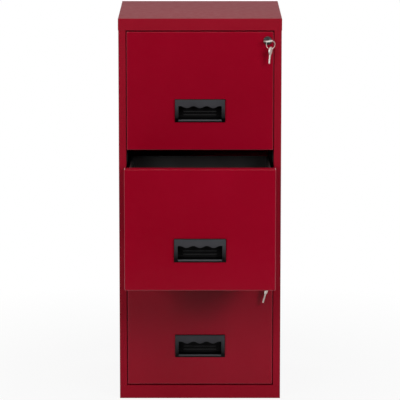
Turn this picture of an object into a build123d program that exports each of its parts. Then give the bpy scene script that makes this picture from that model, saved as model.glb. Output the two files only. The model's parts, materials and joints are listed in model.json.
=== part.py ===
from build123d import *
from math import cos, pi, sqrt
import os

# A steel filing cabinet with three drawers on roller runners. All sizes are in millimetres.
# The origin is on the floor under the middle of the carcass, X to the right, Y to the back, Z up.
# The middle drawer stands open, as it does when the cabinet is in use.

# Carcass
width = 400.0
depth = 400.0
sheet = 0.8
bend = 1.6
plinth_height = 33.0
base_lip = 26.0
cap_skirt = 29.0
cap_return = 14.0
cap_seat = 1.0
stile_width = 18.2
stile_return = 25.2
rear_flange = 15.0
back_flange = 12.0

# Drawers
drawer_gap = 3.0
side_gap = 1.5
front_height = 292.0
front_depth = 26.0
front_lip = 26.0
front_bend = 2.4
tub_floor = 14.0
tub_headroom = 28.0
tub_back_gap = 27.6
tub_flange = 12.0
rim_width = 5.6
rim_drop = 5.0
middle_short = 10.0

# Roller runners, in the space beside each drawer
runner_sheet = 1.2
runner_space = 13.0
runner_rise = 60.0
runner_front_inset = 33.2
runner_rear_inset = 34.2
runner_edge_gap = 2.6
roller_radius = 10.0
roller_hub_radius = 4.5
roller_rim = 2.2
roller_recess = 1.4
roller_edge = 0.6
roller_gap = 0.3
roller_side_gap = 0.6
roller_front_inset = 44.2
roller_rear_inset = 24.5
pin_radius = 2.0
pin_running_fit = 0.05
pin_end_gap = 0.4
slide_rear_inset = 12.4
slide_web = 19.5
slide_clearance = 0.5
stop_gap = 0.5

# Uprights that carry the runners, and the lugs by which the runners hang in their slots
upright_sheet = 1.2
upright_width = 30.0
upright_depth = 20.0
upright_foot = 8.0
upright_inset = 39.2
lug_width = 4.0
lug_height = 12.0
lug_proud = 1.5
lug_gap = 0.3

# Moulded handle
handle_width = 123.5
handle_height = 57.0
handle_rise = 97.5
handle_proud = 5.0
handle_edge = 1.5
handle_bevel = 10.5
handle_bevel_depth = 4.0
grip_band = 19.0
grip_back = 3.0
wave_margin = 4.75
wave_depth = 2.5
wave_count = 3
bezel = 8.75
cup_rim = 4.3
cup_depth = 20.0
cup_wall = 2.0
cup_corner = 3.0
cup_sweep = 10.0
lip_edge = 0.5
lip_top = 1.0
panel_fit = 0.2
snap_width = 10.0
snap_rise = 1.2
snap_length = 5.0
snap_spacing = 70.0

# Cam locks
lock_inset = 14.5
lock_drop = 21.7
rosette_radius = 10.5
rosette_proud = 5.0
rosette_round = 3.2
barrel_radius = 8.0
lock_room = 7.0
nut_size = 20.0
nut_thickness = 4.0
thread_fit = 0.05
plug_radius = 5.5
plug_fit = 0.05
cam_gap = 0.2
cam_thickness = 2.0
cam_end_gap = 3.4
cam_half_width = 5.0
cam_hub_radius = 7.0
tang_size = 5.0
tang_fit = 0.05
rivet_radius = 4.5
rivet_height = 1.2
slot_room = 2.0

# Keys and split rings
key_thickness = 2.0
key_bow_radius = 10.5
key_hole_radius = 3.5
key_hole_offset = 3.5
key_neck = 3.0
blade_width = 6.5
blade_end = 1.0
blade_notch = 1.6
blade_notch_pitch = 4.0
key_fit = 0.2
key_seat = 1.0
key_turn = {"bottom": 90.0, "top": 0.0}
ring_radius = 10.5
ring_wire = 0.6
ring_turn_gap = 0.5
ring_slack = {"bottom": 0.4, "top": 1.3}
spare_drop = 1.6
spare_yaw = 68.0
spare_lean = {"bottom": 16.0, "top": 5.0}

# Lock bar that holds the middle drawer shut from the top lock
bar_sheet = 2.0
bar_width = 12.0
bar_side_gap = 2.2
bar_stile_gap = 1.5
bar_lift = 16.0
bar_contact_gap = 0.3
tab_overhang = 3.2
hook_height = 10.0
hook_drop = 92.0
hook_rim_gap = 1.0
catch_sheet = 2.0
catch_ear = 12.0
catch_foot = 14.0
catch_height = 14.0
catch_rise = 13.0
catch_gap = 2.5
guide_sheet = 1.2
guide_height = 20.0
guide_reach = 10.4
guide_gap = 0.3
guide_margin = 60.0

# Worked out from the sizes above
body_half = width / 2 - sheet
side_inner = body_half - sheet
face = depth / 2 - sheet
opening_half = body_half - stile_width
front_width = 2 * (opening_half - side_gap)
drawer_pitch = front_height + drawer_gap
height = plinth_height + 3 * drawer_pitch + drawer_gap + cap_skirt
panel_top = height - sheet - cap_seat
upright_face = side_inner - upright_depth
tub_half = upright_face - runner_space
tub_length = 2 * (face - sheet) - tub_back_gap - front_depth
tub_height = front_height - tub_floor - tub_headroom
runner_web = upright_face - runner_sheet
runner_front = runner_front_inset - face
runner_rear = face - runner_rear_inset
track_low = roller_radius + roller_gap
slide_top = roller_radius + roller_gap + runner_sheet
track_high = slide_top + slide_clearance
roller_inner = tub_half + runner_sheet + roller_side_gap
roller_width = runner_space - 2 * (runner_sheet + roller_side_gap)
roller_front = roller_front_inset - face
roller_rear = front_depth - face + tub_length - roller_rear_inset
travel = roller_rear - roller_front - 2 * roller_radius - stop_gap
middle_pull = travel - middle_short
lock_x = front_width / 2 - lock_inset
barrel_length = front_depth - lock_room
blade_length = barrel_length - blade_end
cam_front = barrel_length + cam_gap
cam_middle = cam_front + cam_thickness / 2
cam_reach = side_inner - lock_x - cam_end_gap
opening_width = handle_width - 2 * bezel
wave_pitch = (opening_width - 2 * wave_margin) / wave_count
cup_width = opening_width + 2 * cup_wall
cup_height = handle_height - 2 * cup_rim
bar_right = side_inner - bar_side_gap
bar_left = bar_right - bar_width
bar_back = stile_return - face + bar_stile_gap + bar_sheet
hook_end = tub_half + rim_width + hook_rim_gap

drawers = ["bottom", "middle", "top"]
pulls = {"bottom": 0.0, "middle": middle_pull, "top": 0.0}
bases = {}
for place, drawer in enumerate(drawers):
    bases[drawer] = plinth_height + drawer_gap + place * drawer_pitch
locked = ["bottom", "top"]
hands = {"left": -1, "right": 1}
upright_middles = {
    "front": upright_inset + upright_width / 2 - face,
    "rear": face - upright_inset - upright_width / 2,
}

os.makedirs("parts", exist_ok=True)


def save(piece, name):
    """Label a finished piece and write it to its own file."""
    piece.part.label = name
    export_step(piece.part, f"parts/{name}.step")


def facing(y, z, x=0.0):
    """A plane that looks out of the front, with its own x to the right and y up."""
    return Plane((x, y, z), x_dir=(1, 0, 0), z_dir=(0, -1, 0))


def outward(side, y, z, x):
    """A plane that looks out of one side, with its own y up."""
    hand = hands[side]
    return Plane((hand * x, y, z), x_dir=(0, hand, 0), z_dir=(hand, 0, 0))


def folded(plane, points, thickness, hand=1, radius=bend):
    """The section of a sheet folded along its outer corners, mirrored for the left hand."""
    corners = [(hand * x, y) for x, y in points]
    inside = Side.LEFT if hand == 1 else Side.RIGHT
    with BuildSketch(plane) as section:
        with BuildLine():
            FilletPolyline(*corners, radius=radius)
            offset(amount=thickness, side=inside)
        make_face()
    return section.sketch


def lock_height(drawer):
    """The height of a lock's axis above the floor."""
    return bases[drawer] + front_height - lock_drop


# Top cap: a shallow tray turned over, with a return under its front edge
with BuildPart() as top_cap:
    with BuildSketch(Plane.XY.offset(height - cap_skirt)):
        Rectangle(width, depth)
    extrude(amount=cap_skirt)
    rounded = top_cap.edges().filter_by(Axis.Z) + top_cap.edges().group_by(Axis.Z)[-1]
    fillet(rounded, bend)
    offset(amount=-sheet, openings=top_cap.faces().sort_by(Axis.Z)[0])
    with BuildSketch(Plane.XY.offset(height - cap_skirt)):
        with Locations((0, (cap_return - depth) / 2)):
            Rectangle(2 * opening_half, cap_return)
    extrude(amount=sheet)
save(top_cap, "top_cap")

# Base: the plinth, which stands on a lip all round its underside
with BuildPart() as base_tray:
    with BuildSketch(Plane.XY):
        Rectangle(2 * body_half, 2 * face)
    extrude(amount=plinth_height)
    rounded = base_tray.edges().filter_by(Axis.Z) + base_tray.edges().group_by(Axis.Z)[-1]
    fillet(rounded, bend)
    offset(amount=-sheet, openings=base_tray.faces().sort_by(Axis.Z)[0])
    with BuildSketch(Plane.XY):
        RectangleRounded(2 * body_half, 2 * face, bend)
        Rectangle(2 * (body_half - base_lip), 2 * (face - base_lip), mode=Mode.SUBTRACT)
    extrude(amount=sheet)
save(base_tray, "base_tray")

# Back panel, with a flange against each side
with BuildPart() as back_panel:
    corners = [
        (side_inner, face - sheet - back_flange),
        (side_inner, face - sheet),
        (-side_inner, face - sheet),
        (-side_inner, face - sheet - back_flange),
    ]
    extrude(folded(Plane.XY.offset(plinth_height), corners, sheet), amount=panel_top - plinth_height)
save(back_panel, "back_panel")


def make_side(side):
    """A side of the carcass: one sheet from the stile's return, round the stile, to the rear flange."""
    corners = [
        (opening_half, stile_return - face),
        (opening_half, -face),
        (body_half, -face),
        (body_half, face),
        (body_half - rear_flange, face),
    ]
    with BuildPart() as panel:
        section = folded(Plane.XY.offset(plinth_height), corners, sheet, hands[side])
        extrude(section, amount=panel_top - plinth_height)
        if side == "right":
            # Slots that the tongues of the locks turn into
            for drawer in locked:
                with BuildSketch(Plane.YZ.offset(opening_half)):
                    with Locations((cam_middle - face, lock_height(drawer) - cam_reach / 2)):
                        Rectangle(cam_thickness + 2 * slot_room, cam_reach + 2 * (cam_half_width + slot_room))
                extrude(amount=sheet, mode=Mode.SUBTRACT)
    save(panel, f"{side}_side")


def make_upright(side, end):
    """A hat-section upright on the inside of a side panel, with a slot for the lug of each runner."""
    start = upright_middles[end] - upright_width / 2
    stop = upright_middles[end] + upright_width / 2
    corners = [
        (side_inner, start - upright_foot),
        (side_inner, start),
        (upright_face + upright_sheet, start),
        (upright_face + upright_sheet, stop),
        (side_inner, stop),
        (side_inner, stop + upright_foot),
    ]
    with BuildPart() as upright:
        section = folded(Plane.XY.offset(plinth_height), corners, upright_sheet, hands[side])
        extrude(section, amount=panel_top - plinth_height)
        for drawer in drawers:
            with BuildSketch(outward(side, upright_middles[end], bases[drawer] + runner_rise, upright_face)):
                Rectangle(lug_width + 2 * lug_gap, lug_height + 2 * lug_gap)
        extrude(amount=upright_sheet, mode=Mode.SUBTRACT)
    save(upright, f"{side}_{end}_upright")


def make_runner(side, drawer):
    """A cabinet runner: a channel that is open towards the drawer, with a lug for each upright."""
    axis = bases[drawer] + runner_rise
    edge = tub_half + runner_edge_gap
    corners = [
        (edge, axis - track_low - runner_sheet),
        (upright_face, axis - track_low - runner_sheet),
        (upright_face, axis + track_high + runner_sheet),
        (edge, axis + track_high + runner_sheet),
    ]
    with BuildPart() as runner:
        section = folded(facing(runner_rear, 0), corners, runner_sheet, hands[side])
        extrude(section, amount=runner_rear - runner_front)
        for middle in upright_middles.values():
            with BuildSketch(outward(side, middle, axis, upright_face)):
                Rectangle(lug_width, lug_height)
        extrude(amount=upright_sheet + lug_proud)
    save(runner, f"{drawer}_{side}_runner")


def make_slide(side, drawer):
    """A drawer's own runner: an angle that rides on the front roller."""
    axis = bases[drawer] + runner_rise
    corners = [
        (upright_face - runner_sheet - pin_end_gap - roller_gap, axis + slide_top),
        (tub_half, axis + slide_top),
        (tub_half, axis + slide_top - slide_web),
    ]
    rear = front_depth - face - pulls[drawer] + tub_length - slide_rear_inset
    with BuildPart() as slide:
        section = folded(facing(rear, 0), corners, runner_sheet, hands[side])
        extrude(section, amount=tub_length - slide_rear_inset - sheet)
    save(slide, f"{drawer}_{side}_slide")


def make_rollers(drawer, end, y):
    """The two rollers, left and right, at one end of a drawer's runners."""
    axis = bases[drawer] + runner_rise
    with BuildPart() as rollers:
        for side in hands:
            inner = outward(side, y, axis, roller_inner)
            outer = outward(side, y, axis, roller_inner + roller_width)
            with BuildSketch(inner):
                Circle(roller_radius)
                Circle(pin_radius + pin_running_fit, mode=Mode.SUBTRACT)
            extrude(amount=roller_width)
            with BuildSketch(inner):
                Circle(roller_radius - roller_rim)
                Circle(roller_hub_radius, mode=Mode.SUBTRACT)
            extrude(amount=roller_recess, mode=Mode.SUBTRACT)
            with BuildSketch(outer):
                Circle(roller_radius - roller_rim)
                Circle(roller_hub_radius, mode=Mode.SUBTRACT)
            extrude(amount=-roller_recess, mode=Mode.SUBTRACT)
        treads = rollers.edges().filter_by(GeomType.CIRCLE)
        chamfer(treads.filter_by(lambda edge: edge.radius > roller_radius - roller_edge), roller_edge)
    save(rollers, f"{drawer}_{end}_rollers")


def make_drawer_pins(drawer, y):
    """The axles of a drawer's rear rollers, riveted to its slides."""
    axis = bases[drawer] + runner_rise
    with BuildPart() as pins:
        for side in hands:
            with BuildSketch(outward(side, y, axis, tub_half + runner_sheet)):
                Circle(pin_radius)
            extrude(amount=runner_web - tub_half - runner_sheet - pin_end_gap)
    save(pins, f"{drawer}_roller_pins")


# Axles of the front rollers, riveted to the cabinet runners
with BuildPart() as cabinet_roller_pins:
    for drawer in drawers:
        for side in hands:
            axis = bases[drawer] + runner_rise
            with BuildSketch(outward(side, roller_front, axis, runner_web)):
                Circle(pin_radius)
            extrude(amount=tub_half + runner_sheet + pin_end_gap - runner_web)
save(cabinet_roller_pins, "cabinet_roller_pins")


def make_front(drawer):
    """A drawer front: a pan folded back on all four sides, with lips round its rear."""
    y = -face - pulls[drawer]
    middle = bases[drawer] + front_height / 2
    with BuildPart() as front:
        with BuildSketch(facing(y, middle)):
            Rectangle(front_width, front_height)
        extrude(amount=-front_depth)
        rounded = front.edges().filter_by(Axis.Y) + front.edges().group_by(Axis.Y)[0]
        fillet(rounded, front_bend)
        offset(amount=-sheet, openings=front.faces().sort_by(Axis.Y)[-1])
        with BuildSketch(facing(y + front_depth, middle)):
            RectangleRounded(front_width, front_height, front_bend)
            Rectangle(front_width - 2 * front_lip, front_height - 2 * front_lip, mode=Mode.SUBTRACT)
        extrude(amount=sheet)
        # Cut-out for the handle
        with BuildSketch(facing(y, bases[drawer] + handle_rise)):
            RectangleRounded(cup_width + 2 * panel_fit, cup_height + 2 * panel_fit, cup_corner)
        extrude(amount=-sheet, mode=Mode.SUBTRACT)
        if drawer in locked:
            # Hole for the lock, and the slot that its tongue turns through
            with BuildSketch(facing(y, lock_height(drawer), lock_x)):
                Circle(barrel_radius + panel_fit)
            extrude(amount=-sheet, mode=Mode.SUBTRACT)
            with BuildSketch(Plane.YZ.offset(front_width / 2)):
                with Locations((y + cam_middle, lock_height(drawer) - cam_reach / 2)):
                    Rectangle(cam_thickness + 2 * slot_room, cam_reach + 2 * (cam_half_width + slot_room))
            extrude(amount=-sheet, mode=Mode.SUBTRACT)
    save(front, f"{drawer}_front")


def make_tub(drawer):
    """A drawer body: floor and sides in one sheet with rolled rims, a back, and flanges at the front."""
    start = -face - pulls[drawer] + front_depth
    floor = bases[drawer] + tub_floor
    top = floor + tub_height
    inner = tub_half - sheet
    rim = tub_half + rim_width
    corners = [
        (rim, top - rim_drop),
        (rim, top),
        (inner, top),
        (inner, floor + sheet),
        (-inner, floor + sheet),
        (-inner, top),
        (-rim, top),
        (-rim, top - rim_drop),
    ]
    with BuildPart() as tub:
        extrude(folded(facing(start, 0), corners, sheet), amount=-tub_length)
        with BuildSketch(facing(start + tub_length, floor + tub_height / 2)):
            Rectangle(2 * inner, tub_height)
        extrude(amount=sheet)
        with BuildSketch(facing(start, floor)):
            with Locations((0, tub_height / 2)):
                Rectangle(2 * inner, tub_height)
            with Locations((0, tub_height / 2 + tub_flange)):
                Rectangle(2 * (inner - tub_flange), tub_height, mode=Mode.SUBTRACT)
        extrude(amount=-sheet)
    save(tub, f"{drawer}_tub")


def make_handle(drawer):
    """A moulded handle: a proud frame with a wavy grip, and a finger cup behind it."""
    y = -face - pulls[drawer]
    centre = bases[drawer] + handle_rise
    cup_top = cup_height / 2 - cup_wall
    grip = handle_height / 2 - grip_band
    with BuildPart() as handle:
        # Frame, with its lower front edge bevelled away
        with BuildSketch(facing(y, centre)):
            Rectangle(handle_width, handle_height)
        extrude(amount=handle_proud)
        front_edges = handle.faces().sort_by(Axis.Y)[0].edges().sort_by(Axis.Z)
        bevelled = front_edges[0]
        under = handle.faces().sort_by(Axis.Z)[0]
        chamfer(bevelled, length=handle_bevel_depth, length2=handle_bevel, reference=under)
        front_edges = handle.faces().sort_by(Axis.Y)[0].edges().sort_by(Axis.Z)
        fillet(front_edges[1:], handle_edge)
        # Cup behind the panel
        with BuildSketch(facing(y, centre)):
            RectangleRounded(cup_width, cup_height, cup_corner)
        extrude(amount=-cup_depth)
        # Finger space: up behind the grip, round the back and out over the lower lip
        with BuildSketch(Plane((-opening_width / 2, y, centre), x_dir=(0, 1, 0), z_dir=(1, 0, 0))):
            with BuildLine():
                low = -cup_top
                back = cup_depth - cup_wall
                outside = -handle_proud - lip_edge
                lip_low = lip_edge - handle_height / 2
                Polyline(
                    (outside, lip_low),
                    (outside, grip - wave_depth),
                    (grip_back, grip - wave_depth),
                    (grip_back, cup_top),
                    (back, cup_top),
                    (back, low + cup_sweep),
                )
                RadiusArc((back, low + cup_sweep), (back - cup_sweep, low), cup_sweep)
                Polyline(
                    (back - cup_sweep, low),
                    (lip_top, low),
                    (lip_edge - handle_proud, lip_low),
                    (outside, lip_low),
                )
            make_face()
        extrude(amount=opening_width, mode=Mode.SUBTRACT)
        # Wavy lower edge of the grip
        crests = []
        for step in range(4 * wave_count + 1):
            along = (step / 4 - wave_count / 2) * wave_pitch
            crests.append((along, grip + wave_depth * cos(2 * pi * (step / 4 - wave_count / 2 + 0.5))))
        with BuildSketch(facing(y - handle_proud, centre)):
            with BuildLine():
                Spline(*crests, tangents=[(1, 0), (1, 0)])
                Polyline(
                    crests[-1],
                    (opening_width / 2, crests[-1][1]),
                    (opening_width / 2, grip - wave_depth - lip_edge),
                    (-opening_width / 2, grip - wave_depth - lip_edge),
                    (-opening_width / 2, crests[0][1]),
                    crests[0],
                )
            make_face()
        extrude(amount=-handle_proud - grip_back, mode=Mode.SUBTRACT)
        # Snaps that hold the cup behind the sheet of the front
        behind = sheet + panel_fit
        for hand in hands.values():
            for up in (1, -1):
                left = hand * snap_spacing / 2 - snap_width / 2
                with BuildSketch(Plane((left, y, centre), x_dir=(0, 1, 0), z_dir=(1, 0, 0))):
                    Polygon(
                        (behind, up * cup_height / 2),
                        (behind, up * (cup_height / 2 + snap_rise)),
                        (behind + snap_length, up * cup_height / 2),
                        align=None,
                    )
                extrude(amount=snap_width)
    save(handle, f"{drawer}_handle")


def make_lock(drawer):
    """A cam lock: a fixed barrel and nut, and the plug and tongue that turn."""
    y = -face - pulls[drawer]
    z = lock_height(drawer)
    with BuildPart() as barrel:
        with BuildSketch(facing(y, z, lock_x)):
            Circle(rosette_radius)
        extrude(amount=rosette_proud)
        fillet(barrel.edges().sort_by(Axis.Y)[0], rosette_round)
        with BuildSketch(facing(y, z, lock_x)):
            Circle(barrel_radius)
        extrude(amount=-barrel_length)
        with BuildSketch(facing(y - rosette_proud, z, lock_x)):
            Circle(plug_radius + plug_fit)
        extrude(amount=-rosette_proud - barrel_length, mode=Mode.SUBTRACT)
    save(barrel, f"{drawer}_lock_barrel")

    with BuildPart() as nut:
        with BuildSketch(facing(y + sheet, z, lock_x)):
            RegularPolygon(nut_size / 2, 6, major_radius=False, rotation=30)
            Circle(barrel_radius + thread_fit, mode=Mode.SUBTRACT)
        extrude(amount=-nut_thickness)
    save(nut, f"{drawer}_lock_nut")

    with BuildPart() as plug:
        with BuildSketch(facing(y - rosette_proud, z, lock_x)):
            Circle(plug_radius)
        extrude(amount=-rosette_proud - cam_front)
        with BuildSketch(facing(y + cam_front, z, lock_x)):
            Rectangle(tang_size, tang_size)
        extrude(amount=-cam_thickness)
        with BuildSketch(facing(y + cam_front + cam_thickness, z, lock_x)):
            Circle(rivet_radius)
        extrude(amount=-rivet_height)
        with BuildSketch(facing(y - rosette_proud, z, lock_x)):
            Rectangle(blade_width + 2 * key_fit, key_thickness + 2 * key_fit, rotation=-key_turn[drawer])
        extrude(amount=key_seat - key_neck - blade_length - key_fit, mode=Mode.SUBTRACT)
    save(plug, f"{drawer}_lock_plug")

    with BuildPart() as cam:
        with BuildSketch(facing(y + cam_front, z, lock_x)):
            Circle(cam_hub_radius)
            with Locations((0, (cam_half_width - cam_reach) / 2)):
                Rectangle(2 * cam_half_width, cam_reach - cam_half_width)
            with Locations((0, cam_half_width - cam_reach)):
                Circle(cam_half_width)
            Rectangle(tang_size + 2 * tang_fit, tang_size + 2 * tang_fit, mode=Mode.SUBTRACT)
        extrude(amount=-cam_thickness)
    save(cam, f"{drawer}_lock_cam")


def key_outline(plane):
    """A flat key, with its hole at the origin and its blade along y."""
    shoulder = key_hole_offset + key_bow_radius + key_neck
    with BuildSketch(plane) as outline:
        with Locations((0, key_hole_offset)):
            Circle(key_bow_radius)
        with Locations((0, (key_hole_offset + shoulder + blade_length) / 2)):
            Rectangle(blade_width, shoulder + blade_length - key_hole_offset)
        tip = shoulder + blade_length
        chamfer(outline.vertices().group_by(Axis.Y)[-1], blade_notch)
        Circle(key_hole_radius, mode=Mode.SUBTRACT)
        for bit in range(1, 5):
            with Locations((blade_width / 2, tip - bit * blade_notch_pitch)):
                Polygon(
                    (0, -blade_notch),
                    (0, blade_notch),
                    (-blade_notch, 0),
                    align=None,
                    mode=Mode.SUBTRACT,
                )
    return outline.sketch


def make_keys(drawer):
    """The key in a lock, the split ring through it, and the spare key that hangs from the ring."""
    z = lock_height(drawer)
    shoulder = key_hole_offset + key_bow_radius + key_neck
    hole_y = -face - pulls[drawer] - rosette_proud - key_seat - shoulder + key_neck
    bow = Vector(1, 0, 0).rotate(Axis.Y, key_turn[drawer])
    flat = Vector(0, 0, 1).rotate(Axis.Y, key_turn[drawer])
    with BuildPart() as key:
        plane = Plane((lock_x, hole_y, z), x_dir=bow, z_dir=flat)
        extrude(key_outline(plane), amount=key_thickness / 2, both=True)
    save(key, f"{drawer}_key")

    # The ring hangs on the strip of the bow beside its hole
    strip_outer = sqrt(key_bow_radius**2 - key_hole_offset**2)
    strip_middle = (key_hole_radius + strip_outer) / 2
    strip_half = (strip_outer - key_hole_radius) / 2
    strip_top = bow.Z * strip_middle + abs(bow.Z) * strip_half + abs(flat.Z) * key_thickness / 2
    ring_x = lock_x + bow.X * strip_middle
    ring_z = z + strip_top + ring_slack[drawer] + ring_wire - ring_radius

    with BuildPart() as ring:
        with BuildSketch(Plane((ring_x, hole_y, ring_z), x_dir=(1, 0, 0), z_dir=(0, 0, 1))):
            with Locations((ring_radius, -ring_turn_gap), (ring_radius, ring_turn_gap)):
                Circle(ring_wire)
        revolve(axis=Axis((ring_x, hole_y, ring_z), (0, 1, 0)))
    save(ring, f"{drawer}_key_ring")

    with BuildPart() as spare:
        place = (ring_x, hole_y, ring_z - ring_radius - spare_drop)
        across = Vector(1, 0, 0).rotate(Axis.Z, spare_yaw).rotate(Axis.Y, spare_lean[drawer])
        through = Vector(0, 1, 0).rotate(Axis.Z, spare_yaw).rotate(Axis.Y, spare_lean[drawer])
        hang = Plane(place, x_dir=across, z_dir=through)
        extrude(key_outline(hang), amount=key_thickness / 2, both=True)
    save(spare, f"{drawer}_spare_key")


# Lock bar behind the right stile: the top lock lifts it, and its hook then bars the middle drawer
tab_low = lock_height("top") + cam_half_width + bar_contact_gap - bar_lift
hook_low = bases["middle"] + front_height - hook_drop
with BuildPart() as lock_bar:
    strip = [
        (bar_back, hook_low),
        (bar_back, tab_low + bar_sheet),
        (cam_front - tab_overhang - face, tab_low + bar_sheet),
    ]
    extrude(folded(Plane.YZ.offset(bar_left), strip, bar_sheet, radius=bar_sheet + bend), amount=bar_width)
    with BuildSketch(facing(bar_back, hook_low)):
        with Locations(((hook_end + bar_left) / 2, hook_height / 2)):
            Rectangle(bar_left - hook_end, hook_height)
    extrude(amount=bar_sheet)
    fillet(lock_bar.edges().filter_by(Axis.Y).sort_by(Axis.X)[:2], bend)
save(lock_bar, "lock_bar")

# Clips on the side panel that guide the lock bar
with BuildPart() as lock_bar_guides:
    clip = [
        (side_inner - guide_reach, bar_back - bar_sheet - guide_gap - guide_sheet),
        (side_inner, bar_back - bar_sheet - guide_gap - guide_sheet),
        (side_inner, bar_back + guide_gap + guide_sheet),
        (side_inner - guide_reach, bar_back + guide_gap + guide_sheet),
    ]
    for level in (hook_low + guide_margin, tab_low - guide_margin):
        extrude(folded(Plane.XY.offset(level), clip, guide_sheet), amount=guide_height)
save(lock_bar_guides, "lock_bar_guides")

# Angle on the middle drawer that the hook of the lock bar catches
with BuildPart() as middle_catch:
    ear = bar_back + catch_gap - middle_pull
    angle = [
        (tub_half, ear + catch_foot),
        (tub_half, ear),
        (tub_half + catch_ear, ear),
    ]
    catch_low = Plane.XY.offset(hook_low + catch_rise)
    extrude(folded(catch_low, angle, catch_sheet, radius=catch_sheet + bend / 2), amount=catch_height)
save(middle_catch, "middle_catch")

for side in hands:
    make_side(side)
    for end in upright_middles:
        make_upright(side, end)
    for drawer in drawers:
        make_runner(side, drawer)
        make_slide(side, drawer)

for drawer in drawers:
    make_front(drawer)
    make_tub(drawer)
    make_handle(drawer)
    make_drawer_pins(drawer, roller_rear - pulls[drawer])
    make_rollers(drawer, "front", roller_front)
    make_rollers(drawer, "rear", roller_rear - pulls[drawer])

for drawer in locked:
    make_lock(drawer)
    make_keys(drawer)
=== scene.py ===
"""Looks of a red steel filing cabinet: paint, plastic, metal, light and camera around the CAD frame."""
import json
import math

import bpy
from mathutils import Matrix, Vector


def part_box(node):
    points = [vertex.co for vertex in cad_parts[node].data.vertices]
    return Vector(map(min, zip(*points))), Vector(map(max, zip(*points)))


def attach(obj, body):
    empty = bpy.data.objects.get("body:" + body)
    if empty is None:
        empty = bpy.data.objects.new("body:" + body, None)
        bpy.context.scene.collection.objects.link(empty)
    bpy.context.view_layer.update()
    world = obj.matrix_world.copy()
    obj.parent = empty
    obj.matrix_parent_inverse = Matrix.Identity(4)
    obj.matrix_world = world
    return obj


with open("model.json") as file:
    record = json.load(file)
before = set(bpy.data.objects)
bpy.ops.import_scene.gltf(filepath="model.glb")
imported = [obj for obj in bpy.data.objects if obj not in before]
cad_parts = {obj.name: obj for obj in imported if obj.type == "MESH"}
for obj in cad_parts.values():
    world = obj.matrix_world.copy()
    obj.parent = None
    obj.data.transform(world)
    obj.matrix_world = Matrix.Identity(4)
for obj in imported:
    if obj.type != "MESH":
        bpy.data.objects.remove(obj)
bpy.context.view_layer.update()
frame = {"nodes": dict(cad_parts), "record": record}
DRAWERS = ("bottom", "middle", "top")

# Camera: a long lens that looks slightly down at the front, sensor in millimetres and tilt in degrees
IMAGE_PIXELS = 400
SENSOR = 36.0
CAMERA_DISTANCE = 7.0
CAMERA_HEIGHT = 1.724
CAMERA_TILT = 10.19
FOCAL_PIXELS = 2808.0

# Lamps: name, place, target, side length, power in watts
LAMPS = [
    ("key", (1.6, -2.6, 1.8), (0.0, -0.2, 0.5), 1.1, 53.0),
    ("fill", (-1.7, -2.8, 1.6), (0.0, -0.2, 0.5), 1.1, 45.0),
    ("overhead", (0.0, -1.2, 2.9), (0.0, -0.1, 0.6), 1.2, 20.0),
    ("rear_left", (-2.1, 2.2, 1.7), (0.0, 0.2, 0.5), 2.6, 42.0),
    ("rear_right", (2.1, 2.2, 1.7), (0.0, 0.2, 0.5), 2.6, 42.0),
]

# Floor: the tone that lights the cabinet from below, and the share of white that is seen in it, which grows
# to 1 between two distances from the middle
FLOOR_RADIUS = 1.8
FLOOR_SIDES = 96
FLOOR_TONE = 0.50
FLOOR_ROUGHNESS = 0.9
FLOOR_SHINE = 0.1
FLOOR_WHITE_SHARE = 0.91
FLOOR_FADE_START = 0.45
FLOOR_FADE_END = 1.2

# Studio: its brightness in front and behind, the part of a direction along Y at which each is reached, and
# the white that gloss sees behind, from a part of that direction on
WORLD_FRONT = 0.05
WORLD_BACK = 0.30
WORLD_TURN = 0.6
BACKDROP_START = 0.70
BACKDROP_IN_GLOSS = 0.52
WHITE = (1.0, 1.0, 1.0, 1.0)

# Range of raw noise that finishes stretch to the values they need, and the usual depth of their relief
NOISE_LOW = 0.3
NOISE_HIGH = 0.7
RELIEF_DEPTH = 0.0002
FINE_RELIEF_DEPTH = 0.0001

# Likeness of a rounded normal to the true one at which an edge begins to look worn, and on the red paint
# also lit by a painted highlight, and at which it is fully so
EDGE_START = 0.99
EDGE_FULL = 0.85
EDGE_SAMPLES = 6

# Largest part of a normal at which a painted highlight along a fold begins and at which it is full, and the
# upward part at which that painted highlight begins to fade and at which it is gone
FOLD_START = 0.985
FOLD_FULL = 0.86
UP_START = 0.15
UP_GONE = 0.60

# Shares of a handle's depth and height, and parts of its normal, between which its finish turns from painted
# sheen to painted black shade in the cup, under faces that turn down and on the outer rim above the lip, and
# the heights between which its frame turns from painted shade below to painted sheen above
CUP_MOUTH = 0.24
CUP_DEEP = 0.38
UNDER_START = -0.12
UNDER_FULL = -0.30
RIM_START = -0.96
RIM_FULL = -0.80
LIP_LOW = 0.20
LIP_HIGH = 0.26
SHEEN_LOW = 0.18
SHEEN_HIGH = 0.75

# Upward parts of a handle's normal between which a painted highlight on its lower lip fades in
LIP_TURN_START = 0.3
LIP_TURN_FULL = 0.6

# Colours as linear RGB: the two tones that a finish drifts between, and single tones where it is worn, where
# a highlight is painted or where shade is painted black
RED_TONES = ((0.228, 0.0008, 0.0105), (0.250, 0.0012, 0.0130))
# Paler sharp edges of the red paint: partly worn paint, partly a painted highlight
RED_WORN_AND_HIGHLIGHT = (0.27, 0.012, 0.025)
# A painted highlight along the rounded folds of the drawer fronts
FRONT_FOLD_HIGHLIGHT = (0.30, 0.030, 0.045)
TUB_TONES = ((0.0045, 0.0042, 0.0045), (0.0070, 0.0066, 0.0070))
TUB_WORN = (0.030, 0.029, 0.030)
# Handle: painted shade low on the frame, a painted sheen above it, a painted highlight on the lip, and
# painted black shade in the cup, under it and on its rim
HANDLE_SHADED_TONES = ((0.004, 0.004, 0.0044), (0.006, 0.006, 0.0065))
HANDLE_SHEEN_TONES = ((0.0345, 0.0345, 0.0385), (0.0435, 0.0435, 0.0485))
HANDLE_LIP_HIGHLIGHT = (0.050, 0.050, 0.054)
HANDLE_PAINTED_SHADE = (0.0010, 0.0010, 0.0012)
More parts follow.
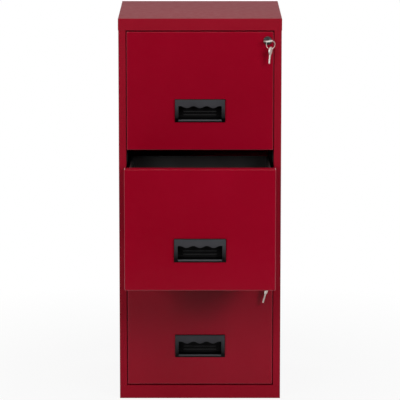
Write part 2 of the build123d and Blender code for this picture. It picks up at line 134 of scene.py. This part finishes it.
# Rib tone: partly the plastic's own, partly raised as painted light so that the ribs show as lit bands
# against the cup's painted shade
RIB_TONES = ((0.012, 0.012, 0.0124), (0.017, 0.017, 0.0174))
NYLON_TONES = ((0.62, 0.60, 0.54), (0.74, 0.73, 0.68))
LOCK_TONES = ((0.010, 0.010, 0.011), (0.018, 0.018, 0.019))
LOCK_WORN = (0.09, 0.09, 0.095)
ZINC_TONES = ((0.42, 0.43, 0.44), (0.58, 0.59, 0.60))
NICKEL_TONES = ((0.80, 0.77, 0.72), (0.92, 0.89, 0.84))

# Least and greatest roughness of a finish, and its specular level
CARCASS_GLOSS = (0.40, 0.48, 0.12)
FRONT_GLOSS = (0.18, 0.26, 0.14)
TUB_GLOSS = (0.42, 0.56, 0.30)
HANDLE_GLOSS = (0.46, 0.58, 0.07)
RIB_GLOSS = (0.46, 0.58, 0.10)
NYLON_GLOSS = (0.38, 0.52, 0.50)
LOCK_GLOSS = (0.26, 0.36, 0.50)
ZINC_ROUGHNESS = (0.32, 0.46)
NICKEL_ROUGHNESS = (0.50, 0.62)

# Ribs on the back wall of each finger cup: sizes, and places about the handle's middle. They are drawn in
# from a share of their half length on, through a narrower section, to a share of their size at the tip.
RIB_LENGTH = 0.082
RIB_HEIGHT = 0.0026
RIB_PROUD = 0.0009
RIB_LEVELS = (-0.0045, -0.0125)
RIB_FULL = 0.95
RIB_NARROWER = 0.985
RIB_TIP = 0.15
RIB_SEAT = 0.0002
CUP_WALL = 0.002

# Blind rivets that hold each drawer body to its front, as radius and height pairs of the head's section
RIVET_SECTION = [(0.0032, -0.0002), (0.0032, 0.0003), (0.0027, 0.0009), (0.0016, 0.0013), (0.0006, 0.0011)]
RIVETS_PER_FLANGE = 4
FLANGE_MIDDLE = 0.0068
FLANGE_MARGIN = 0.022
SHEET = 0.0008

# Spot welds between each side and the back, as radius and height pairs of the dimple's section
WELD_SECTION = [(0.0034, -0.0002), (0.0031, 0.00012), (0.0026, 0.0003), (0.0018, 0.00024), (0.0007, 0.00008)]
WELDS_PER_SIDE = 8
WELD_INSET = 0.0075
WELD_MARGIN = 0.05

# Steps in a full turn of a round piece
TURN_STEPS = 20


def new_material(name):
    """A node material and its Principled shader."""
    material = bpy.data.materials.new(name)
    material.use_nodes = True
    shader = material.node_tree.nodes["Principled BSDF"]
    return material, shader


def add_node(owner, kind, **settings):
    """A node of a material or a world. Settings go to inputs of that name, or else to the node itself."""
    node = owner.node_tree.nodes.new(kind)
    for name, value in settings.items():
        socket = node.inputs.get(name.replace("_", " "))
        if socket is None:
            setattr(node, name, value)
        else:
            socket.default_value = value
    return node


def link(owner, source, target):
    """Join an output socket to an input socket."""
    owner.node_tree.links.new(source, target)


def ramp(owner, value, start, end, low=0.0, high=1.0):
    """A value that is low at a start, high at an end, and runs straight between them."""
    slope = add_node(owner, "ShaderNodeMapRange", From_Min=start, From_Max=end, To_Min=low, To_Max=high)
    link(owner, value, slope.inputs["Value"])
    return slope.outputs["Result"]


def combine(owner, operation, first, second):
    """Two sockets joined by a math operation."""
    result = add_node(owner, "ShaderNodeMath", operation=operation)
    link(owner, first, result.inputs[0])
    link(owner, second, result.inputs[1])
    return result.outputs[0]


def maximum(owner, *sockets):
    """The largest of several sockets."""
    largest = sockets[0]
    for socket in sockets[1:]:
        largest = combine(owner, "MAXIMUM", largest, socket)
    return largest


def coordinates(owner, kind):
    """X, Y and Z sockets of a texture coordinate, such as Normal or Generated."""
    place = add_node(owner, "ShaderNodeTexCoord")
    axes = add_node(owner, "ShaderNodeSeparateXYZ")
    link(owner, place.outputs[kind], axes.inputs[0])
    return axes.outputs


def noise(material, scale, detail=2.0):
    """Noise in the piece's own metres, so that it keeps its place on a piece that moves."""
    place = add_node(material, "ShaderNodeTexCoord")
    texture = add_node(material, "ShaderNodeTexNoise", Scale=scale, Detail=detail)
    link(material, place.outputs["Object"], texture.inputs["Vector"])
    return texture.outputs["Fac"]


def spread(material, value, low, high):
    """A noise value stretched to a range."""
    return ramp(material, value, NOISE_LOW, NOISE_HIGH, low, high)


def blend_colours(material, factor, first, second):
    """A colour between two, by a factor socket. Each colour is a socket or a linear triple."""
    mix = add_node(material, "ShaderNodeMix", data_type="RGBA")
    link(material, factor, mix.inputs["Factor"])
    for socket, colour in ((mix.inputs["A"], first), (mix.inputs["B"], second)):
        if isinstance(colour, tuple):
            socket.default_value = (*colour, 1.0)
        else:
            link(material, colour, socket)
    return mix.outputs["Result"]


def clouded(material, tones, scale, detail=2.0):
    """A colour that drifts between two tones."""
    drift = spread(material, noise(material, scale, detail), 0.0, 1.0)
    return blend_colours(material, drift, *tones)


def set_gloss(material, shader, gloss, scale, detail=2.0):
    """Roughness that drifts between two values, and one specular level all over."""
    smooth, rough, shine = gloss
    drift = spread(material, noise(material, scale, detail), smooth, rough)
    link(material, drift, shader.inputs["Roughness"])
    shader.inputs["Specular IOR Level"].default_value = shine


def relief(material, shader, height, strength, depth=RELIEF_DEPTH):
    """Bump from a height socket, on a shader."""
    bump = add_node(material, "ShaderNodeBump", Strength=strength, Distance=depth)
    link(material, height, bump.inputs["Height"])
    link(material, bump.outputs["Normal"], shader.inputs["Normal"])


def edge_mask(material, radius):
    """1 along edges that are sharper than a radius in metres, 0 on flat faces."""
    rounded = add_node(material, "ShaderNodeBevel", Radius=radius, samples=EDGE_SAMPLES)
    true = add_node(material, "ShaderNodeNewGeometry")
    likeness = add_node(material, "ShaderNodeVectorMath", operation="DOT_PRODUCT")
    link(material, rounded.outputs["Normal"], likeness.inputs[0])
    link(material, true.outputs["Normal"], likeness.inputs[1])
    return ramp(material, likeness.outputs["Value"], EDGE_START, EDGE_FULL)


def fold_highlight_mask(material):
    """Mask of the painted highlight: 1 along a rounded fold, 0 on faces that are square to an axis and on
    folds that turn up.
    """
    normal = coordinates(material, "Normal")
    sizes = []
    for part in normal:
        size = add_node(material, "ShaderNodeMath", operation="ABSOLUTE")
        link(material, part, size.inputs[0])
        sizes.append(size.outputs[0])
    bent = ramp(material, maximum(material, *sizes), FOLD_START, FOLD_FULL)
    return combine(material, "MULTIPLY", bent, ramp(material, normal["Z"], UP_GONE, UP_START))


def painted_shade_mask(material):
    """1 where black shade is painted on a handle: deep in its cup, on faces that turn down and on its outer
    rim.
    """
    share = coordinates(material, "Generated")
    normal = coordinates(material, "Normal")
    cup = ramp(material, share["Y"], CUP_MOUTH, CUP_DEEP)
    under = ramp(material, normal["Z"], UNDER_START, UNDER_FULL)
    turned = ramp(material, normal["Y"], RIM_START, RIM_FULL)
    above_lip = ramp(material, share["Z"], LIP_LOW, LIP_HIGH)
    return maximum(material, cup, under, combine(material, "MULTIPLY", turned, above_lip))


def red_paint(name="red_paint", gloss=CARCASS_GLOSS, fold_highlight_tone=None):
    """Semi-gloss powder coat: fine orange peel, faint clouding, sharp edges paler partly from worn paint and
    partly from a painted highlight, and on the fronts a painted highlight along rounded folds.
    """
    material, shader = new_material(name)
    body = clouded(material, RED_TONES, scale=5.0)
    # Painted highlight along rounded folds
    if fold_highlight_tone:
        body = blend_colours(material, fold_highlight_mask(material), body, fold_highlight_tone)
    # Paler sharp edges: partly worn paint, partly a painted highlight
    worn = blend_colours(material, edge_mask(material, radius=0.0012), body, RED_WORN_AND_HIGHLIGHT)
    link(material, worn, shader.inputs["Base Color"])
    set_gloss(material, shader, gloss, scale=60.0, detail=3.0)
    relief(material, shader, noise(material, scale=850.0, detail=1.0), strength=0.08)
    return material


def tub_paint():
    """Satin black paint on the drawer bodies, with handling marks."""
    material, shader = new_material("tub_paint")
    body = clouded(material, TUB_TONES, scale=9.0, detail=3.0)
    worn = blend_colours(material, edge_mask(material, radius=0.0010), body, TUB_WORN)
    link(material, worn, shader.inputs["Base Color"])
    set_gloss(material, shader, TUB_GLOSS, scale=45.0, detail=4.0)
    relief(material, shader, noise(material, scale=900.0, detail=1.0), strength=0.10)
    return material


def finish_plastic(material, shader, body, gloss):
    """The spark-eroded grain and the gloss of moulded black plastic, round a body colour."""
    link(material, body, shader.inputs["Base Color"])
    set_gloss(material, shader, gloss, scale=220.0)
    relief(material, shader, noise(material, scale=1600.0), strength=0.35)


def handle_plastic():
    """Black moulded plastic with painted light: a painted sheen on the frame that grows upwards over painted
    shade, a painted highlight on the lip, and painted black shade in the cup.
    """
    material, shader = new_material("handle_plastic")
    # Painted shade low on the frame and painted sheen higher up, blended by height
    low = clouded(material, HANDLE_SHADED_TONES, scale=30.0, detail=3.0)
    high = clouded(material, HANDLE_SHEEN_TONES, scale=30.0, detail=3.0)
    below = ramp(material, coordinates(material, "Generated")["Z"], SHEEN_HIGH, SHEEN_LOW)
    sheen_over_shade = blend_colours(material, below, high, low)
    # Painted highlight where the lip turns up
    upward = ramp(material, coordinates(material, "Normal")["Z"], LIP_TURN_START, LIP_TURN_FULL)
    lipped = blend_colours(material, upward, sheen_over_shade, HANDLE_LIP_HIGHLIGHT)
    # Painted black shade in the cup, under faces that turn down and on the rim
    body = blend_colours(material, painted_shade_mask(material), lipped, HANDLE_PAINTED_SHADE)
    finish_plastic(material, shader, body, HANDLE_GLOSS)
    return material


def cup_plastic():
    """The same plastic as moulded, for the ribs in the cup, in a tone lighter than the cup's painted shade
    so that they show as lit bands.
    """
    material, shader = new_material("cup_plastic")
    body = clouded(material, RIB_TONES, scale=80.0, detail=3.0)
    finish_plastic(material, shader, body, RIB_GLOSS)
    return material


def roller_nylon():
    """Off-white moulded nylon, a little soiled."""
    material, shader = new_material("roller_nylon")
    body = clouded(material, NYLON_TONES, scale=120.0, detail=4.0)
    link(material, body, shader.inputs["Base Color"])
    set_gloss(material, shader, NYLON_GLOSS, scale=300.0)
    relief(material, shader, noise(material, scale=1400.0), strength=0.10, depth=FINE_RELIEF_DEPTH)
    return material


def lock_black():
    """Satin black lacquer on the lock barrels."""
    material, shader = new_material("lock_black")
    body = clouded(material, LOCK_TONES, scale=150.0, detail=3.0)
    worn = blend_colours(material, edge_mask(material, radius=0.0006), body, LOCK_WORN)
    link(material, worn, shader.inputs["Base Color"])
    set_gloss(material, shader, LOCK_GLOSS, scale=400.0)
    relief(material, shader, noise(material, scale=1500.0), strength=0.08, depth=FINE_RELIEF_DEPTH)
    return material


def metal(name, tones, roughness, scale, stretch):
    """Plated metal whose tone and gloss vary along fine drawn lines."""
    material, shader = new_material(name)
    place = add_node(material, "ShaderNodeTexCoord")
    drawn = add_node(material, "ShaderNodeMapping", Scale=stretch)
    texture = add_node(material, "ShaderNodeTexNoise", Scale=scale, Detail=4.0)
    link(material, place.outputs["Object"], drawn.inputs["Vector"])
    link(material, drawn.outputs["Vector"], texture.inputs["Vector"])
    grain = texture.outputs["Fac"]
    body = blend_colours(material, spread(material, grain, 0.0, 1.0), *tones)
    link(material, body, shader.inputs["Base Color"])
    link(material, spread(material, grain, *roughness), shader.inputs["Roughness"])
    shader.inputs["Metallic"].default_value = 1.0
    relief(material, shader, grain, strength=0.06)
    return material


def zinc_steel():
    """Zinc-plated sheet: dull, cool grey, with faint lines along the runners."""
    return metal("zinc_steel", ZINC_TONES, ZINC_ROUGHNESS, scale=90.0, stretch=(1.0, 0.15, 1.0))


def key_nickel():
    """Nickel plate on the keys and rings, with fine scratches."""
    return metal("key_nickel", NICKEL_TONES, NICKEL_ROUGHNESS, scale=500.0, stretch=(1.0, 1.0, 0.25))


def dress_nodes():
    """Give every CAD node the finish of its slot, and drawer fronts a glossier red with a painted highlight
    along their folds. Returns the finishes.
    """
    makers = {
        "red_paint": red_paint,
        "tub_paint": tub_paint,
        "handle_plastic": handle_plastic,
        "roller_nylon": roller_nylon,
        "zinc_steel": zinc_steel,
        "lock_black": lock_black,
        "key_nickel": key_nickel,
    }
    finishes = {slot: make() for slot, make in makers.items()}
    # Drawer fronts get a painted highlight along their folds
    front_paint = red_paint("front_paint", FRONT_GLOSS, FRONT_FOLD_HIGHLIGHT)
    for part in frame["record"]["subparts"]:
        mesh = frame["nodes"][part["node"]].data
        mesh.materials.clear()
        is_front = part["node"].endswith("_front")
        mesh.materials.append(front_paint if is_front else finishes[part["material_slot"]])
    return finishes


def add_piece(name, points, faces, finish, slot, body):
    """A new mesh piece with a finish, riding on a body."""
    mesh = bpy.data.meshes.new(name)
    mesh.from_pydata(points, [], faces)
    mesh.polygons.foreach_set("use_smooth", [True] * len(faces))
    mesh.materials.append(finish)
    piece = bpy.data.objects.new(name, mesh)
    bpy.context.scene.collection.objects.link(piece)
    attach(piece, body)


def skin(rings):
    """Quads between neighbouring closed rings of equal count, and a face over each end."""
    count = len(rings[0])
    points = [point for ring in rings for point in ring]
    faces = [list(range(count))[::-1]]
    for first in range(0, count * (len(rings) - 1), count):
        for step in range(count):
            after = (step + 1) % count
            faces.append([first + step, first + after, first + count + after, first + count + step])
    faces.append(list(range(count * (len(rings) - 1), count * len(rings))))
    return points, faces


def join(parts):
    """One list of points and one of faces from several."""
    points = []
    faces = []
    for part_points, part_faces in parts:
        offset = len(points)
        points += part_points
        faces += [[corner + offset for corner in face] for face in part_faces]
    return points, faces


def stud(centre, section):
    """A round stud that stands on a wall facing the back, from radius and height pairs."""
    x, y, z = centre
    turns = [2 * math.pi * step / TURN_STEPS for step in range(TURN_STEPS)]
    rings = []
    for radius, height in section:
        ring = [(x - radius * math.cos(turn), y + height, z + radius * math.sin(turn)) for turn in turns]
        rings.append(ring)
    return skin(rings)


def rib(middle, wall, level):
    """A half-round rib along X on a wall that faces the front, drawn in at both ends."""
    shares = (1.0, RIB_NARROWER, RIB_FULL)
    rings = []
    for along in [-share for share in shares] + list(reversed(shares)):
        past_full = max(0.0, abs(along) - RIB_FULL) / (1.0 - RIB_FULL)
        size = max(RIB_TIP, 1.0 - past_full ** 2)
        x = middle + along * RIB_LENGTH / 2
        ring = []
        for step in range(TURN_STEPS // 2 + 1):
            turn = math.pi * 2 * step / TURN_STEPS
            y = wall + RIB_SEAT - (RIB_SEAT + size * RIB_PROUD) * math.sin(turn)
            ring.append((x, y, level + size * RIB_HEIGHT / 2 * math.cos(turn)))
        rings.append(ring)
    return skin(rings)


def make_cup_ribs():
    """Two moulded ribs in each handle's finger cup."""
    finish = cup_plastic()
    for drawer in DRAWERS:
        low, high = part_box(f"{drawer}_handle")
        middle = (low[0] + high[0]) / 2
        centre = (low[2] + high[2]) / 2
        ribs = [rib(middle, high[1] - CUP_WALL, centre + level) for level in RIB_LEVELS]
        add_piece(f"{drawer}_cup_ribs", *join(ribs), finish, "handle_plastic", f"{drawer}_drawer")


def make_rivets(finishes):
    """Rivet heads on the flanges inside each drawer body."""
    for drawer in DRAWERS:
        low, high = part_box(f"{drawer}_tub")
        tub_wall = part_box(f"{drawer}_right_slide")[0][0]
        reach = high[2] - low[2] - 2 * FLANGE_MARGIN
        heads = []
        for step in range(RIVETS_PER_FLANGE):
            z = low[2] + FLANGE_MARGIN + reach * step / (RIVETS_PER_FLANGE - 1)
            for hand in (-1, 1):
                x = hand * (tub_wall - FLANGE_MIDDLE)
                heads.append(stud((x, low[1] + SHEET, z), RIVET_SECTION))
        add_piece(f"{drawer}_rivets", *join(heads), finishes["zinc_steel"], "zinc_steel", f"{drawer}_drawer")


def make_weld_marks(finishes):
    """Spot welds down the rear flange of each side panel."""
    for side, hand in (("left", -1), ("right", 1)):
        low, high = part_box(f"{side}_side")
        edge = high[0] if hand == 1 else low[0]
        reach = high[2] - low[2] - 2 * WELD_MARGIN
        marks = []
        for step in range(WELDS_PER_SIDE):
            z = low[2] + WELD_MARGIN + reach * step / (WELDS_PER_SIDE - 1)
            marks.append(stud((edge - hand * WELD_INSET, high[1], z), WELD_SECTION))
        add_piece(f"{side}_weld_marks", *join(marks), finishes["red_paint"], "red_paint", "cabinet")


def seen_directly(owner):
    """A socket that is 1 for rays from the camera."""
    path = add_node(owner, "ShaderNodeLightPath")
    return path.outputs["Is Camera Ray"]


def seen_in_gloss(owner):
    """A socket that is 1 for rays that a glossy or clear surface sends on."""
    path = add_node(owner, "ShaderNodeLightPath")
    return maximum(owner, path.outputs["Is Glossy Ray"], path.outputs["Is Transmission Ray"])


def show(owner, factor, first, second, output):
    """Send a mix of two shader nodes, by a factor socket, to an output node."""
    mix = add_node(owner, "ShaderNodeMixShader")
    link(owner, factor, mix.inputs[0])
    link(owner, first.outputs[0], mix.inputs[1])
    link(owner, second.outputs[0], mix.inputs[2])
    link(owner, mix.outputs[0], owner.node_tree.nodes[output].inputs["Surface"])


def floor_pale():
    """A dull pale finish that reads as white and keeps a soft shadow of the cabinet."""
    material, shader = new_material("floor_pale")
    shader.inputs["Base Color"].default_value = (FLOOR_TONE, FLOOR_TONE, FLOOR_TONE, 1.0)
    shader.inputs["Roughness"].default_value = FLOOR_ROUGHNESS
    shader.inputs["Specular IOR Level"].default_value = FLOOR_SHINE
    white = add_node(material, "ShaderNodeEmission", Color=WHITE)
    place = add_node(material, "ShaderNodeTexCoord")
    distance = add_node(material, "ShaderNodeVectorMath", operation="LENGTH")
    link(material, place.outputs["Object"], distance.inputs[0])
    share = ramp(material, distance.outputs["Value"], FLOOR_FADE_START, FLOOR_FADE_END, FLOOR_WHITE_SHARE)
    seen = maximum(material, seen_directly(material), seen_in_gloss(material))
    show(material, combine(material, "MULTIPLY", seen, share), shader, white, "Material Output")
    return material


def make_floor():
    """A pale disc under the cabinet."""
    turns = [2 * math.pi * step / FLOOR_SIDES for step in range(FLOOR_SIDES)]
    rim = [(FLOOR_RADIUS * math.cos(turn), FLOOR_RADIUS * math.sin(turn), 0.0) for turn in turns]
    mesh = bpy.data.meshes.new("floor")
    mesh.from_pydata(rim, [], [list(range(FLOOR_SIDES))])
    mesh.materials.append(floor_pale())
    floor = bpy.data.objects.new("floor", mesh)
    bpy.context.scene.collection.objects.link(floor)


def make_world():
    """A studio that is white to the camera, pale behind the cabinet and dim in front of it."""
    world = bpy.data.worlds.new("studio")
    world.use_nodes = True
    bpy.context.scene.world = world
    room = world.node_tree.nodes["Background"]
    white = add_node(world, "ShaderNodeBackground", Color=WHITE)
    direction = coordinates(world, "Generated")
    tone = ramp(world, direction["Y"], -WORLD_TURN, WORLD_TURN, WORLD_FRONT, WORLD_BACK)
    link(world, tone, room.inputs["Color"])
    behind = ramp(world, direction["Y"], BACKDROP_START, 1.0, 0.0, BACKDROP_IN_GLOSS)
    mirrored = combine(world, "MULTIPLY", behind, seen_in_gloss(world))
    show(world, maximum(world, seen_directly(world), mirrored), room, white, "World Output")


def make_lamps():
    """Soft square lamps, each aimed at the cabinet."""
    for name, place, target, side, power in LAMPS:
        light = bpy.data.lights.new(name, "AREA")
        light.shape = "SQUARE"
        light.size = side
        light.energy = power
        lamp = bpy.data.objects.new(name, light)
        lamp.location = place
        aim = Vector(target) - Vector(place)
        lamp.rotation_euler = aim.to_track_quat("-Z", "Y").to_euler()
        bpy.context.scene.collection.objects.link(lamp)


def make_camera():
    """The camera in front of the cabinet, above its top."""
    lens = bpy.data.cameras.new("camera")
    lens.sensor_width = SENSOR
    lens.lens = FOCAL_PIXELS / IMAGE_PIXELS * SENSOR
    camera = bpy.data.objects.new("camera", lens)
    camera.location = (0.0, -CAMERA_DISTANCE, CAMERA_HEIGHT)
    camera.rotation_euler = (math.radians(90.0 - CAMERA_TILT), 0.0, 0.0)
    bpy.context.scene.collection.objects.link(camera)
    bpy.context.scene.camera = camera


finishes = dress_nodes()
make_cup_ribs()
make_rivets(finishes)
make_weld_marks(finishes)
make_floor()
make_world()
make_lamps()
make_camera()
bpy.context.scene.view_settings.view_transform = "Standard"
